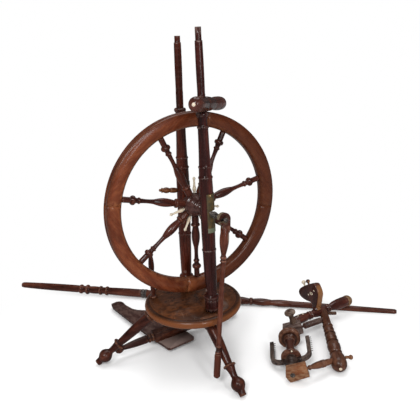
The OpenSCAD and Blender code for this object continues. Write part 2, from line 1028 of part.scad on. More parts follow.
module head_bar() {
    color("firebrick")
        difference() {
            bar_frame()
                difference() {
                    turned(concat(
                        [for (a = [-90:15:0]) [bulb_r * 0.75 * sin(a), bulb_r * cos(a)]],
                        [[2, bulb_r], [42, bulb_r - 0.5]],
                        bead(47, 5, bulb_r - 2.5, 1.8),
                        swell(52, bulb_r - 2, 96, bulb_r - 3, 1.4),
                        bead(101, 6, bulb_r - 4.5, 1.8),
                        swell(106, bulb_r - 4.5, 134, bulb_r - 5, 1.2),
                        bead(139, 6, bulb_r - 6, 1.8),
                        swell(144, bulb_r - 5.6, 176, bulb_r - 6, 1.2),
                        bead(181, 6, bulb_r - 6.6, 1.8),
                        [[186, bar_end_r], [bar_len, bar_end_r]]
                    ));
                    translate([0, 0, -bulb_r])
                        cylinder(r = button_r + seat_gap, h = 12);
                }
            cross_frame()
                cylinder(r = cross_seat_r, h = cross_len);
            maiden_cut(near_maiden_pos, near_maiden_b, near_maiden_dip, near_maiden_len);
            maiden_cut(far_maiden_pos, far_maiden_b, far_maiden_dip, far_maiden_len);
            peg_cut(bar_pin_pos);
            peg_cut(thumb_peg_pos);
        }
    color("firebrick")
        bar_frame()
            translate([0, 0, bar_len - 22])
                cylinder(r = bar_tenon_r, h = 26);
}

module bar_button() {
    color("ivory")
        bar_frame()
            translate([0, 0, -bulb_r * 0.75])
                turned(concat(
                    swell(-1.6, 1.5, 0.4, button_r, 0.8, 4),
                    [[3.6, button_r]]
                ));
}

near_maiden_pos = block_at(block_right, 4, 1.5);
near_maiden_run = bar_from + 25 * along(bar_bearing, -bar_rise) - near_maiden_pos;
near_maiden_len = norm(near_maiden_run);
near_maiden_b = atan2(near_maiden_run[0], near_maiden_run[1]);
near_maiden_dip = -asin(near_maiden_run[2] / near_maiden_len);
far_maiden_pos = block_at(block_right, 0, head_span + 1.5);
far_maiden_run = bar_from + (bar_len - 43) * along(bar_bearing, -bar_rise) - far_maiden_pos;
far_maiden_len = norm(far_maiden_run);
far_maiden_b = atan2(far_maiden_run[0], far_maiden_run[1]);
far_maiden_dip = -asin(far_maiden_run[2] / far_maiden_len);
maiden_in = 7;

module maiden_frame(pos, b, dip) {
    translate(pos)
        aim(b, dip)
            children();
}

module maiden_cut(pos, b, dip, reach) {
    maiden_frame(pos, b, dip)
        translate([0, 0, reach - 40])
            cylinder(r = maiden_end_r + seat_gap, h = 40 + seat_gap);
}

module near_maiden() {
    color("firebrick")
        maiden_frame(near_maiden_pos, near_maiden_b, near_maiden_dip) {
            difference() {
                turned(concat(
                    [[-maiden_in, maiden_tenon_r], [7, maiden_tenon_r]],
                    bead(10, 5, 4.4, 2),
                    swell(13, 4.8, 50, 8.4, 0.8),
                    bead(54, 5, 7.8, 1.4),
                    bead(60, 5, 7.8, 1.4),
                    swell(63, 7.4, near_maiden_len - 12, 7, 0.4)
                ));
                bar_from_maiden(near_maiden_pos, near_maiden_b, near_maiden_dip, bulb_r);
            }
            translate([0, 0, 20])
                cylinder(r = maiden_end_r, h = near_maiden_len - 20);
        }
}

module far_maiden() {
    color("firebrick")
        maiden_frame(far_maiden_pos, far_maiden_b, far_maiden_dip) {
            difference() {
                turned(concat(
                    [[-maiden_in, maiden_tenon_r], [10, maiden_tenon_r]],
                    [for (i = [0:10]) each [[10 + 6 * i, 6], [13 + 6 * i, 7.6]]],
                    [[77, 6.8], [far_maiden_len - 6, 6.8]]
                ));
                bar_from_maiden(far_maiden_pos, far_maiden_b, far_maiden_dip, bar_end_r);
            }
            translate([0, 0, 20])
                cylinder(r = maiden_end_r, h = far_maiden_len - 20);
        }
}

// The head bar's outer surface, seen from a maiden's own frame
module bar_from_maiden(pos, b, dip, r) {
    rotate([90 + dip, 0, 0])
        rotate([0, 0, b])
            translate(-pos)
                bar_frame()
                    cylinder(r = r + seat_gap, h = bar_len);
}

spindle_from = -block_t / 2 - 1;

module spindle() {
    color("dimgray")
        head_frame()
            translate([0, 0, spindle_from]) {
                cylinder(r = spindle_r, h = head_span + block_t + 2);
                translate([0, 0, -0.6])
                    cylinder(r = 7, h = 1.2, $fn = 8);
            }
}

flyer_roll = 14;
flyer_at = 46;
arm_t = 11;
flyer_arm_end = 146;
flyer_bend = 30;

module flyer_arm_2d(side) {
    mirror([side, 0]) {
        translate([flyer_half_w - arm_t, flyer_at + flyer_bend])
            square([arm_t, flyer_arm_end - flyer_at - flyer_bend]);
        translate([flyer_half_w - flyer_bend, flyer_at + flyer_bend])
            intersection() {
                difference() {
                    circle(r = flyer_bend);
                    circle(r = flyer_bend - arm_t);
                }
                translate([0, -flyer_bend])
                    square([flyer_bend, flyer_bend]);
            }
    }
}

module flyer() {
    color("sienna")
        head_frame()
            rotate([0, 0, -flyer_roll])
                difference() {
                    union() {
                        rotate([90, 0, 0])
                            translate([0, 0, -arm_t / 2])
                                linear_extrude(height = arm_t)
                                    union() {
                                        flyer_arm_2d(0);
                                        flyer_arm_2d(1);
                                        translate([flyer_bend - flyer_half_w, flyer_at])
                                            square([2 * (flyer_half_w - flyer_bend), arm_t]);
                                    }
                        turned(concat(
                            [[flyer_at - 22, 10], [flyer_at - 14, 15]],
                            swell(flyer_at - 13, 15, flyer_at + 1, 19, 1.5),
                            [[flyer_at + 2, 16], [flyer_at + arm_t + 6, 14]]
                        ));
                    }
                    cylinder(r = spindle_r + seat_gap, h = 100);
                }
}

hook_pitch = 9;
hook_count = 8;

module flyer_hooks() {
    color("dimgray")
        head_frame()
            rotate([0, 0, -flyer_roll])
                for (i = [0:hook_count - 1]) {
                    translate([flyer_half_w + 0.1, 0, flyer_at + 34 + hook_pitch * i])
                        rotate([0, 90, 0])
                            cylinder(r = 0.9, h = 5);
                    translate([-flyer_half_w + arm_t + 0.1, 0, flyer_at + 34 + hook_pitch * i])
                        rotate([0, 90, 0])
                            cylinder(r = 0.9, h = 5);
                }
}

bobbin_from = 64;
whorl_from = 150;
whorl_t = 18;

module bobbin() {
    color("sienna")
        head_frame()
            difference() {
                turned(concat(
                    [[bobbin_from, flange_r - 3], [bobbin_from + 1, flange_r]],
                    [[bobbin_from + 6, flange_r], [bobbin_from + 8, flange_r - 4], [bobbin_from + 9, 12]],
                    swell(bobbin_from + 11, 11.6, whorl_from - 14, 11.4, 0.4),
                    [[whorl_from - 12, 15], [whorl_from - 8, 15], [whorl_from - 6, 12]]
                ));
                cylinder(r = spindle_r + run_fit, h = head_span);
            }
}

module whorl() {
    color("chocolate")
        head_frame()
            difference() {
                turned(concat(
                    [[whorl_from - 4, 9], [whorl_from, 11], [whorl_from, 17], [whorl_from + 1.5, 17.5]],
                    [[whorl_from + 1.5, 23], [whorl_from, 24], [whorl_from, 28], [whorl_from + 2, whorl_r]],
                    [[whorl_from + 5, whorl_r], [whorl_from + 8, whorl_r - 5]],
                    [[whorl_from + 11, whorl_r], [whorl_from + 14, whorl_r], [whorl_from + whorl_t, 20]],
                    [[whorl_from + whorl_t + 4, 10]]
                ));
                cylinder(r = spindle_r + seat_gap, h = head_span);
            }
}

finial_at = 94;
cross_seat_r = 14.9;

// Z runs along the crossbar from left to right
module cross_frame() {
    translate([cross_x, cross_y, cross_z])
        aim(cross_bearing)
            children();
}

module crossbar() {
    color("firebrick")
        difference() {
            cross_frame()
                difference() {
                    turned(concat(
                        [[0, 10], [2, 12.5]],
                        swell(4, 13.5, 54, 14, 0.6),
                        bead(60, 6, 12, 2.6),
                        bead(68, 6, 12, 2.6),
                        swell(74, 12.5, 132, 12.5, 2.2),
                        bead(138, 6, 12, 2.6),
                        bead(146, 7, 12, 2.6),
                        [[152, 11.5]],
                        swell(156, 13, 222, 17, 1),
                        [[224, 16], [224, 9], [234, 9]]
                    ));
                    for (z = stud_z)
                        translate([0, 0, z])
                            rotate([90, 0, 0])
                                cylinder(r = stud_r + seat_gap, h = 20);
                }
            bar_frame()
                translate([0, 0, bar_len - 30])
                    cylinder(r = bar_tenon_r + seat_gap, h = 34 + seat_gap);
            finial_frame()
                translate([0, 0, -4 - seat_gap])
                    cylinder(r = finial_tenon_r + seat_gap, h = 40);
        }
}

stud_r = 2.6;
stud_z = [16, 36];

module crossbar_studs() {
    color("ivory")
        cross_frame()
            for (z = stud_z)
                translate([0, 0, z])
                    rotate([90, 0, 0])
                        translate([0, 0, 8])
                            cylinder(r = stud_r, h = 7.2);
}

module crossbar_cap() {
    color("tan")
        cross_frame()
            difference() {
                turned(concat(
                    [[224.2, 16.5], [226, 17.5]],
                    swell(228, 17.6, cross_len, 9, 3)
                ));
                translate([0, 0, 220])
                    cylinder(r = 9 + seat_gap, h = 14.4);
            }
}

finial_tenon_r = 7;
finial_t = 17;

// Outline of the finial's head, as [distance behind the crossbar, height above its axis]
finial_outline = [
    [-12, 17], [-10, 30], [-9.5, 42], [-6.5, 59], [-5.5, 74], [-4.6, 85], [0, 97], [7, 104],
    [18, 99], [32, 89], [46, 80], [57.4, 73.4], [66.3, 67.5], [77, 57], [83.4, 43.1],
    [76, 38], [68.2, 34.5], [56, 31.5], [44.2, 30.3], [30, 30.5], [20.6, 29], [12, 23], [10, 17]
];

// Z runs up from the crossbar's axis, Y points behind it
module finial_frame() {
    translate([cross_x + finial_at * sin(cross_bearing), cross_y + finial_at * cos(cross_bearing), cross_z])
        children();
}

// A leaning heart-shaped head on a turned neck, set in the crossbar
module finial() {
    color("maroon")
        difference() {
            finial_frame() {
                turned([[-4, finial_tenon_r], [12, finial_tenon_r], [12.5, 12], [17, 14.5], [23, 13.5], [28, 12]]);
                translate([-finial_t / 2, 0, 0])
                    rotate([90, 0, 90])
                        linear_extrude(height = finial_t)
                            polygon(finial_outline);
            }
            difference() {
                cross_frame()
                    cylinder(r = cross_seat_r, h = cross_len);
                finial_frame()
                    translate([0, 0, -4])
                        cylinder(r = finial_tenon_r, h = 40);
            }
            for (i = [0:1])
                finial_peg_frame(i)
                    translate([0, 0, -7.2])
                        cylinder(r = 2 + seat_gap, h = 10);
        }
}

// Two small pegs on the head's upper edge
module finial_peg_frame(i) {
    finial_frame()
        translate([0, 60 - 24 * i, 71.8 + 15 * i])
            rotate([-34 + 2 * i, 0, 0])
                children();
}

module finial_pegs() {
    color("ivory")
        for (i = [0:1])
            finial_peg_frame(i)
                turned(concat(
                    [[-7, 2], [1, 2], [1.4, 3.4], [4, 2.6]],
                    swell(5, 2.8, 12, 2.4, 2.4)
                ));
}

bar_pin_pos = [0, bar_len - 14];
thumb_peg_pos = [-6, 26];

// Points Z out of the head bar's right side, at a distance along the bar
module side_peg_frame(pos) {
    bar_frame()
        translate([0, pos[0], pos[1]])
            rotate([0, 90, 0])
                children();
}

module peg_cut(pos) {
    side_peg_frame(pos)
        translate([0, 0, 4])
            cylinder(r = 3 + seat_gap, h = 40);
}

module bar_pin() {
    color("sienna")
        side_peg_frame(bar_pin_pos)
            turned(concat(
                [[bar_tenon_r + 0.6, 3], [13.2, 3], [14, 4.6]],
                [for (i = [0:4]) each [[16 + 4 * i, 4.8], [18 + 4 * i, 6]]],
                [[36, 4.8], [38, 5.6], [40, 3.5]]
            ));
}

module thumb_peg() {
    color("sienna")
        side_peg_frame(thumb_peg_pos)
            turned(concat(
                [[5, 3], [21, 3], [22, 4.4], [30, 4]],
                swell(31, 4.5, 41, 4, 2.6)
            ));
}

table();
front_post();
back_post();
left_leg();
front_leg();
rear_leg();
small_column();
front_bearing();
back_bearing();
back_keeper();
axle();
hub();
hub_pegs();
crank();
spoke_1();
spoke_2();
spoke_3();
spoke_4();
spoke_5();
spoke_6();
spoke_7();
felloe_1();
felloe_2();
felloe_3();
felloe_4();
footman();
footman_foot();
treadle_bar();
treadle_board();
treadle_pins();
swivel_arm();
arm_button();
distaff_upper();
distaff_lower();
distaff_ferrule();
head_bar();
bar_button();
near_maiden();
far_maiden();
near_bearing();
far_bearing();
spindle();
flyer();
flyer_hooks();
whorl();
bobbin();
crossbar();
crossbar_cap();
crossbar_studs();
finial();
finial_pegs();
tension_knob();
bar_pin();
thumb_peg();
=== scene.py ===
import json
import math

import bmesh
import bpy
from mathutils import Matrix, Vector

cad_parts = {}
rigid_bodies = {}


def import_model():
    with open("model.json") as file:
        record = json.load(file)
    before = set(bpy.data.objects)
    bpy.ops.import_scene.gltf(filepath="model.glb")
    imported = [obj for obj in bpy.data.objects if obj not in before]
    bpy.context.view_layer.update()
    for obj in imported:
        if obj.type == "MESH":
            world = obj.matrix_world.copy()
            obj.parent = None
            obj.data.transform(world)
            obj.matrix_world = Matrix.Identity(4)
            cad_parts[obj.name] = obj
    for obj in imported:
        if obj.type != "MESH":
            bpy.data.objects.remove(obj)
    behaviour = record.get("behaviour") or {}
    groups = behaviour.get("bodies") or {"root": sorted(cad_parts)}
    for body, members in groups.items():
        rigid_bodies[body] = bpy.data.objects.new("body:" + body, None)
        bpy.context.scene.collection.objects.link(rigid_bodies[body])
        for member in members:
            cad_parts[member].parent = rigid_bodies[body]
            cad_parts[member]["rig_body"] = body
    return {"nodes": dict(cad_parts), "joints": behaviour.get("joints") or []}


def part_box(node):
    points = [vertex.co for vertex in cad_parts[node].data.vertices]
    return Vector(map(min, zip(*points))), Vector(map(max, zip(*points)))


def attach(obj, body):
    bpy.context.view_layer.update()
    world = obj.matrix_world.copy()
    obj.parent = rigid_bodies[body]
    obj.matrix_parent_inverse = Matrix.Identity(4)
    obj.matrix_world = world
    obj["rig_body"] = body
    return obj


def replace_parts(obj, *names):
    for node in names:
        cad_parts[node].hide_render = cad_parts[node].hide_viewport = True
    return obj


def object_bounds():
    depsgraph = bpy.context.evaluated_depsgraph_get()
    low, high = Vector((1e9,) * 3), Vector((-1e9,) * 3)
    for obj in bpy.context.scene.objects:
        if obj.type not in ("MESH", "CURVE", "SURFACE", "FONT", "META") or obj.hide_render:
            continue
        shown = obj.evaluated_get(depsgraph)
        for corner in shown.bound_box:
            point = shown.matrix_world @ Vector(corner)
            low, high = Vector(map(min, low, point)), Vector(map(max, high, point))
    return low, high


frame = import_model()
cad_box = [list(corner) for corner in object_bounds()]

# ---------- Camera ----------
# A 42 mm lens in front of the wheel and to its left, above the axle and looking down, with the
# slight tilt of a hand-levelled stand.
MM = 0.001
yaw, pitch, tilt = math.radians(28.34), math.radians(17.73), math.radians(-2.04)
gaze = Vector((math.sin(yaw) * math.cos(pitch), math.cos(yaw) * math.cos(pitch), -math.sin(pitch)))
level = Vector((math.cos(yaw), -math.sin(yaw), 0))
plumb = level.cross(gaze)
rightward = level * math.cos(tilt) + plumb * math.sin(tilt)
upward = plumb * math.cos(tilt) - level * math.sin(tilt)
camera_data = bpy.data.cameras.new("camera")
camera_data.lens = 41.885
camera_data.sensor_width = 36
camera = bpy.data.objects.new("camera", camera_data)
bpy.context.scene.collection.objects.link(camera)
stand = Matrix.Translation(Vector((-565.9, -1135.0, 669.5)) * MM)
camera.matrix_world = stand @ Matrix((rightward, upward, -gaze)).transposed().to_4x4()
bpy.context.scene.camera = camera
bpy.context.scene.view_settings.view_transform = "Standard"

# ---------- Table ----------
# A thick turned disc of stained beech, which carries the posts and stands on the legs. Its top is
# brown, worn and dull, and its moulded edge is painted a warmer, lighter brown that is partly its
# kept polish and partly a painted highlight. Every other wooden piece is finished like it, so that
# finish is set out here.
UP = Vector((0, 0, 1))


def colour(code):
    """An sRGB hex colour as linear red, green, blue and alpha."""
    parts = [int(code[i:i + 2], 16) / 255 for i in (1, 3, 5)]
    return [c / 12.92 if c <= 0.04045 else ((c + 0.055) / 1.055) ** 2.4 for c in parts] + [1]


def add(tree, kind, inputs=None, stops=(), **settings):
    """Add a shader node: a socket given as an input is linked, a hex colour or a value is set.
    MapRange reads the range from 1 to 2 and gives the range from 3 to 4. Mix takes its factor
    as 0, two numbers as 2 and 3, or two colours as 6 and 7."""
    node = tree.nodes.new("ShaderNode" + kind)
    for key, value in settings.items():
        setattr(node, key, value)
    for key, value in (inputs or {}).items():
        if isinstance(value, bpy.types.NodeSocket):
            tree.links.new(value, node.inputs[key])
        else:
            node.inputs[key].default_value = colour(value) if isinstance(value, str) else value
    for number, (position, shade) in enumerate(stops):
        if number > 1:
            node.color_ramp.elements.new(1.0)
        node.color_ramp.elements[number].position = position
        node.color_ramp.elements[number].color = colour(shade)
    return node


def new_material(name):
    """A material with an empty node tree."""
    material = bpy.data.materials.new(name)
    material.use_nodes = True
    material.node_tree.nodes.clear()
    return material


def marks(tree, along, layers, shift=0.0):
    """Noise stretched along the grain. A layer is its name, its width and length in mm, and how
    much detail it has."""
    turn = UP.rotation_difference(Vector(along).normalized()).to_euler()
    place = add(tree, "TexCoord").outputs["Object"]
    found = {}
    for layer, wide, long, detail in layers:
        shift += 0.071
        grain = add(tree, "Mapping", {
            "Vector": place, "Location": (shift, 0.7 * shift, 0.3 * shift), "Rotation": turn,
            "Scale": (wide * MM, wide * MM, long * MM)}, vector_type="TEXTURE").outputs[0]
        found[layer] = add(tree, "TexNoise", {"Vector": grain, "Scale": 1.0, "Detail": detail,
                                              "Roughness": 0.6}).outputs[0]
    return found


def lay_over(material, factor, shade):
    """Mix a shade over the colour that a finished material has so far."""
    shader = material.node_tree.nodes["Principled BSDF"]
    under = shader.inputs["Base Color"].links[0].from_socket
    mixed = add(material.node_tree, "Mix", {0: factor, 6: under, 7: shade}, data_type="RGBA")
    material.node_tree.links.new(mixed.outputs[2], shader.inputs["Base Color"])


def polished_beech(name, shades, along, worn, wear=0.35, gloss=0.3, coat=0.16, dust_and_sheen=0.04,
                   figure=14, shift=0.0, pores=0.35):
    """Stained and waxed beech: fine fibres and open pores show through, edges are rubbed pale,
    hollows are darkened partly as dirt and partly as painted shade, and upward faces are greyed
    partly as dust and partly as a painted sheen. Its figure's width is in mm."""
    material = new_material(name)
    tree = material.node_tree
    grain = marks(tree, along, [("fibre", 1.6, 40, 5), ("figure", figure, 130, 3),
                                ("patch", 40, 80, 3), ("pore", 0.6, 8, 2), ("rub", 9, 15, 4),
                                ("dust_and_sheen", 20, 30, 5), ("sheen", 6, 26, 4)], shift)
    tone = add(tree, "Mix", {0: 0.3, 2: grain["figure"], 3: grain["fibre"]}).outputs[0]
    base = add(tree, "ValToRGB", {"Fac": tone},
               [(0.37, shades[0]), (0.5, shades[1]), (0.64, shades[2])]).outputs[0]
    bend = add(tree, "NewGeometry").outputs["Pointiness"]
    facing = add(tree, "SeparateXYZ", {0: add(tree, "TexCoord").outputs["Normal"]}).outputs["Z"]
    raised = add(tree, "MapRange", {0: bend, 1: 0.515, 2: 0.57, 4: wear}).outputs[0]
    handled = add(tree, "MapRange", {0: grain["rub"], 1: 0.4, 2: 0.62}).outputs[0]
    rubbed = add(tree, "Math", {0: raised, 1: handled}, operation="MULTIPLY").outputs[0]
    # Upward faces are greyed: partly dust, partly a painted sheen of the light on top surfaces.
    upper = add(tree, "MapRange", {0: facing, 1: 0.4, 2: 0.95, 4: dust_and_sheen}).outputs[0]
    dust_and_sheen_noise = add(tree, "MapRange", {0: grain["dust_and_sheen"], 1: 0.4, 2: 0.7}).outputs[0]
    dust_and_sheen_mask = add(tree, "Math", {0: upper, 1: dust_and_sheen_noise}, operation="MULTIPLY").outputs[0]
    stained = add(tree, "MapRange", {0: grain["patch"], 1: 0.45, 2: 0.7, 4: 0.5}).outputs[0]
    pricked = add(tree, "MapRange", {0: grain["pore"], 1: 0.6, 2: 0.72, 4: pores}).outputs[0]
    # Hollows and grooves are darkened: partly dirt, partly painted shade.
    dirt_and_shade = add(tree, "MapRange", {0: bend, 1: 0.49, 2: 0.44, 4: 0.75}).outputs[0]
    for factor, shade in ((stained, shades[0]), (pricked, "#140706"), (rubbed, worn),
                          (dirt_and_shade, "#120806"), (dust_and_sheen_mask, "#a5958c")):
        base = add(tree, "Mix", {0: factor, 6: base, 7: shade}, data_type="RGBA").outputs[2]
    rough = add(tree, "MapRange", {0: grain["sheen"], 1: 0.3, 2: 0.75, 3: gloss - 0.06,
                                   4: gloss + 0.14}).outputs[0]
    pore_free = add(tree, "MapRange", {0: grain["pore"], 1: 0.56, 2: 0.74, 3: 1.0,
                                       4: 0.0}).outputs[0]
    relief = add(tree, "Mix", {0: 0.6, 2: grain["fibre"], 3: pore_free}).outputs[0]
    bump = add(tree, "Bump", {"Height": relief, "Distance": 0.1 * MM, "Strength": 0.45}).outputs[0]
    shader = add(tree, "BsdfPrincipled", {
        "Base Color": base, "Roughness": rough, "Normal": bump, "Coat Weight": coat,
        "Coat Roughness": 0.1, "Specular IOR Level": 0.18})
    add(tree, "OutputMaterial", {"Surface": shader.outputs[0]})
    return material


def fit(name, shape, material, body, crease=38):
    """Make a finished shape a smoothly shaded piece that moves with a body. Faces that meet at
    more degrees than the crease keep a sharp edge."""
    mesh = bpy.data.meshes.new(name)
    shape.to_mesh(mesh)
    shape.free()
    mesh.materials.clear()
    mesh.materials.append(material)
    for face in mesh.polygons:
        face.use_smooth = True
        face.material_index = 0
    mesh.set_sharp_from_angle(angle=math.radians(crease))
    piece = bpy.data.objects.new(name, mesh)
    bpy.context.scene.collection.objects.link(piece)
    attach(piece, body)
    return piece


def dress(node, material, cuts=()):
    """A welded, smoothly shaded copy of a turned or cut piece, which takes the plain piece's place.
    Cuts across it at the given heights keep the pale colour on a bead, which is wear and a painted
    highlight, from running along the plain parts beside it."""
    source = frame["nodes"][node]
    shape = bmesh.new()
    shape.from_mesh(source.data)
    bmesh.ops.remove_doubles(shape, verts=shape.verts, dist=2e-6)
    for height in cuts:
        bmesh.ops.bisect_plane(shape, geom=shape.verts[:] + shape.edges[:] + shape.faces[:],
                               plane_co=(0, 0, height), plane_no=UP)
    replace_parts(fit(node + "_finished", shape, material, source["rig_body"]), node)


table_beech = polished_beech("table_beech", ("#2c170c", "#331b0f", "#3b2013"), (1, 0.12, 0),
                             worn="#8a5230", wear=0.4, dust_and_sheen=0.03, figure=60, pores=0.08)
tree = table_beech.node_tree
# The moulded edge is painted lighter and warmer by its facing: partly polish, partly a painted
# highlight.
side = add(tree, "SeparateXYZ", {0: add(tree, "TexCoord").outputs["Normal"]}).outputs["Z"]
side = add(tree, "Math", {0: side}, operation="ABSOLUTE").outputs[0]
side = add(tree, "MapRange", {0: side, 1: 0.96, 2: 0.5, 4: 0.9}).outputs[0]
lay_over(table_beech, side, "#6e3e20")
scratch = marks(tree, (0.3, 1, 0), [("scratch", 1.4, 60, 2)], 0.4)["scratch"]
scratch = add(tree, "MapRange", {0: scratch, 1: 0.68, 2: 0.72, 4: 0.35}).outputs[0]
lay_over(table_beech, scratch, "#a88a72")
dress("table", table_beech)

# ---------- Legs and small column ----------
# Three splayed legs and a short loose-fitting column, turned from beech and stained dark. The
# legs' round tenons are driven up into the table, and the column stands in it.


def middle(node):
    """The centre of a node's box."""
    low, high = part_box(node)
    return (low + high) / 2


table_foot = Vector((-15, 9, -24)) * MM
leg_shades = ("#230c07", "#38160e", "#53291b")
for number, node in enumerate(("left_leg", "front_leg", "rear_leg")):
    dress(node, polished_beech(node + "_beech", leg_shades, table_foot - middle(node),
                               worn="#8a5d42", wear=0.5, shift=number * 0.13))
dress("small_column", polished_beech("column_beech", leg_shades, UP, worn="#8a5d42", wear=0.4,
                                     shift=0.31))

# ---------- Posts ----------
# Two tall turned beech posts, tenoned into the table. Their dark red stain is glossy and is worn
# on the beads, where the pale grey is partly that wear and partly a painted highlight of the
# rings. The front one is the darker.
cut_spacing = 0.006
post_cuts = [cut_spacing * count for count in range(1, 120)]
for node, shades, shift in (("front_post", ("#1c0908", "#30110e", "#441c17"), 0.05),
                            ("back_post", ("#271009", "#44190f", "#5e2b1c"), 0.57)):
    # The pale grey worn colour on the beads is partly wear, partly a painted highlight of the
    # rings.
    dress(node, polished_beech(node + "_beech", shades, UP, worn="#8f7a72", wear=0.6, gloss=0.24,
                               coat=0.25, shift=shift), post_cuts)

# ---------- Axle bearings ----------
# Thin brass plates, nailed over the axle's slots. Age has turned them olive brown, with a
# greenish lower lip. A nail near the top of the front one is bright.


def aged_brass(name):
    """Brass gone brown, blotched and greenish, with a little bright metal left where it is
    rubbed."""
    material = new_material(name)
    tree = material.node_tree
    grain = marks(tree, UP, [("cloud", 7, 14, 6), ("scratch", 0.5, 16, 3), ("green", 7, 7, 5)])
    base = add(tree, "ValToRGB", {"Fac": grain["cloud"]},
               [(0.38, "#120b06"), (0.5, "#2b1f0d"), (0.6, "#523914")]).outputs[0]
    green = add(tree, "MapRange", {0: grain["green"], 1: 0.58, 2: 0.7, 4: 0.5}).outputs[0]
    bend = add(tree, "NewGeometry").outputs["Pointiness"]
    rubbed = add(tree, "MapRange", {0: bend, 1: 0.52, 2: 0.58, 4: 0.1}).outputs[0]
    for factor, shade in ((green, "#45472f"), (rubbed, "#a08a54")):
        base = add(tree, "Mix", {0: factor, 6: base, 7: shade}, data_type="RGBA").outputs[2]
    metal = add(tree, "MapRange", {0: grain["cloud"], 1: 0.4, 2: 0.62, 3: 0.05, 4: 0.25}).outputs[0]
    rough = add(tree, "MapRange", {0: grain["scratch"], 1: 0.3, 2: 0.7, 3: 0.38,
                                   4: 0.58}).outputs[0]
    bump = add(tree, "Bump", {"Height": grain["cloud"], "Distance": 0.4 * MM,
                              "Strength": 0.5}).outputs[0]
    shader = add(tree, "BsdfPrincipled", {"Base Color": base, "Metallic": metal,
                                          "Roughness": rough, "Normal": bump})
    add(tree, "OutputMaterial", {"Surface": shader.outputs[0]})
    return material


def spot(tree, centre, size):
    """How far a point lies inside a soft-edged spot: its centre and half its size, in mm."""
    place = add(tree, "TexCoord").outputs["Object"]
    near = add(tree, "Mapping", {"Vector": place, "Location": Vector(centre) * MM,
                                 "Scale": Vector(size) * MM}, vector_type="TEXTURE").outputs[0]
    near = add(tree, "VectorMath", {0: near}, operation="LENGTH").outputs["Value"]
    return add(tree, "MapRange", {0: near, 1: 1.0, 2: 0.6}).outputs[0]


plate_brass = aged_brass("plate_brass")
tree = plate_brass.node_tree
height = add(tree, "SeparateXYZ", {0: add(tree, "TexCoord").outputs["Object"]}).outputs["Z"]
lower_lip = add(tree, "MapRange", {0: height, 1: 0.2415, 2: 0.2395, 4: 0.8}).outputs[0]
nail = spot(tree, (-1.2, -96, 328), (2.4, 9, 2.8))
lay_over(plate_brass, lower_lip, "#68705c")
lay_over(plate_brass, nail, "#c9a878")
dress("front_bearing", plate_brass)
dress("back_bearing", plate_brass)

# ---------- Axle keeper ----------
# A small turned peg of paler beech, pushed into the left side of the back post just above the
# axle, which it keeps in its slot.
dress("back_keeper", polished_beech("keeper_beech", ("#3b2114", "#63391f", "#8a5733"),
                                    (-1, 0, 0.15), worn="#a5744a", gloss=0.4, coat=0.2))

# ---------- Axle and crank ----------
# One forged iron bar that runs through both posts and the hub and is bent to a crank in front.
# It is dark with scale, rubbed grey in places and rusty in others.


def forged_iron(name, along):
    """Hammered iron: dark scale with rubbed grey places, and dull brown patches of rust."""
    material = new_material(name)
    tree = material.node_tree
    grain = marks(tree, along, [("scale", 4, 7, 5), ("rust", 6, 6, 6)])
    base = add(tree, "ValToRGB", {"Fac": grain["scale"]},
               [(0.36, "#24201f"), (0.5, "#4a4441"), (0.66, "#7a736e")]).outputs[0]
    rust = add(tree, "MapRange", {0: grain["rust"], 1: 0.56, 2: 0.7, 4: 0.7}).outputs[0]
    base = add(tree, "Mix", {0: rust, 6: base, 7: "#5a3826"}, data_type="RGBA").outputs[2]
    metal = add(tree, "MapRange", {0: grain["rust"], 1: 0.5, 2: 0.66, 3: 0.6, 4: 0.1}).outputs[0]
    rough = add(tree, "MapRange", {0: grain["scale"], 1: 0.3, 2: 0.7, 3: 0.4, 4: 0.6}).outputs[0]
    bump = add(tree, "Bump", {"Height": grain["scale"], "Distance": 0.35 * MM,
                              "Strength": 0.6}).outputs[0]
    shader = add(tree, "BsdfPrincipled", {"Base Color": base, "Metallic": metal,
                                          "Roughness": rough, "Normal": bump})
    add(tree, "OutputMaterial", {"Surface": shader.outputs[0]})
    return material


axle_iron = forged_iron("axle_iron", (0, 1, 0))
dress("axle", axle_iron)
dress("crank", axle_iron)

# ---------- Hub ----------
# A ball with a collar at each end, turned from elm and fixed on the axle. It is the glossiest
# piece of the wheel. Small turned bone pegs are set into it between the spokes.
dress("hub", polished_beech("hub_elm", ("#301815", "#412824", "#543833"), (0, 1, 0),
                            worn="#8f6a5c", wear=0.1, gloss=0.2, coat=0.5, pores=0.1))


def old_bone(name, along):
    """Cream bone with brown stains, fine lengthwise streaks, and darkening in its hollows and at
    its ends that is partly dirt and partly painted shade.
    """
    material = new_material(name)
    tree = material.node_tree
    grain = marks(tree, along, [("streak", 1.2, 14, 4), ("stain", 7, 9, 4)])
    base = add(tree, "ValToRGB", {"Fac": grain["streak"]},
               [(0.35, "#a8947a"), (0.52, "#cdc0aa"), (0.7, "#e4dccf")]).outputs[0]
    stain = add(tree, "MapRange", {0: grain["stain"], 1: 0.52, 2: 0.68, 4: 0.6}).outputs[0]
    bend = add(tree, "NewGeometry").outputs["Pointiness"]
    # Hollows are darkened: partly dirt, partly painted shade.
    bone_dirt_and_shade = add(tree, "MapRange", {0: bend, 1: 0.49, 2: 0.44, 4: 0.7}).outputs[0]
    for factor, shade in ((stain, "#86674a"), (bone_dirt_and_shade, "#3d2818")):
        base = add(tree, "Mix", {0: factor, 6: base, 7: shade}, data_type="RGBA").outputs[2]
    rough = add(tree, "MapRange", {0: grain["stain"], 1: 0.3, 2: 0.7, 3: 0.3, 4: 0.5}).outputs[0]
    bump = add(tree, "Bump", {"Height": grain["streak"], "Distance": 0.08 * MM,
                              "Strength": 0.4}).outputs[0]
    shader = add(tree, "BsdfPrincipled", {
        "Base Color": base, "Roughness": rough, "Normal": bump, "Coat Weight": 0.15,
        "Subsurface Weight": 0.06, "Subsurface Radius": (0.003, 0.0022, 0.0014)})
    add(tree, "OutputMaterial", {"Surface": shader.outputs[0]})
    return material


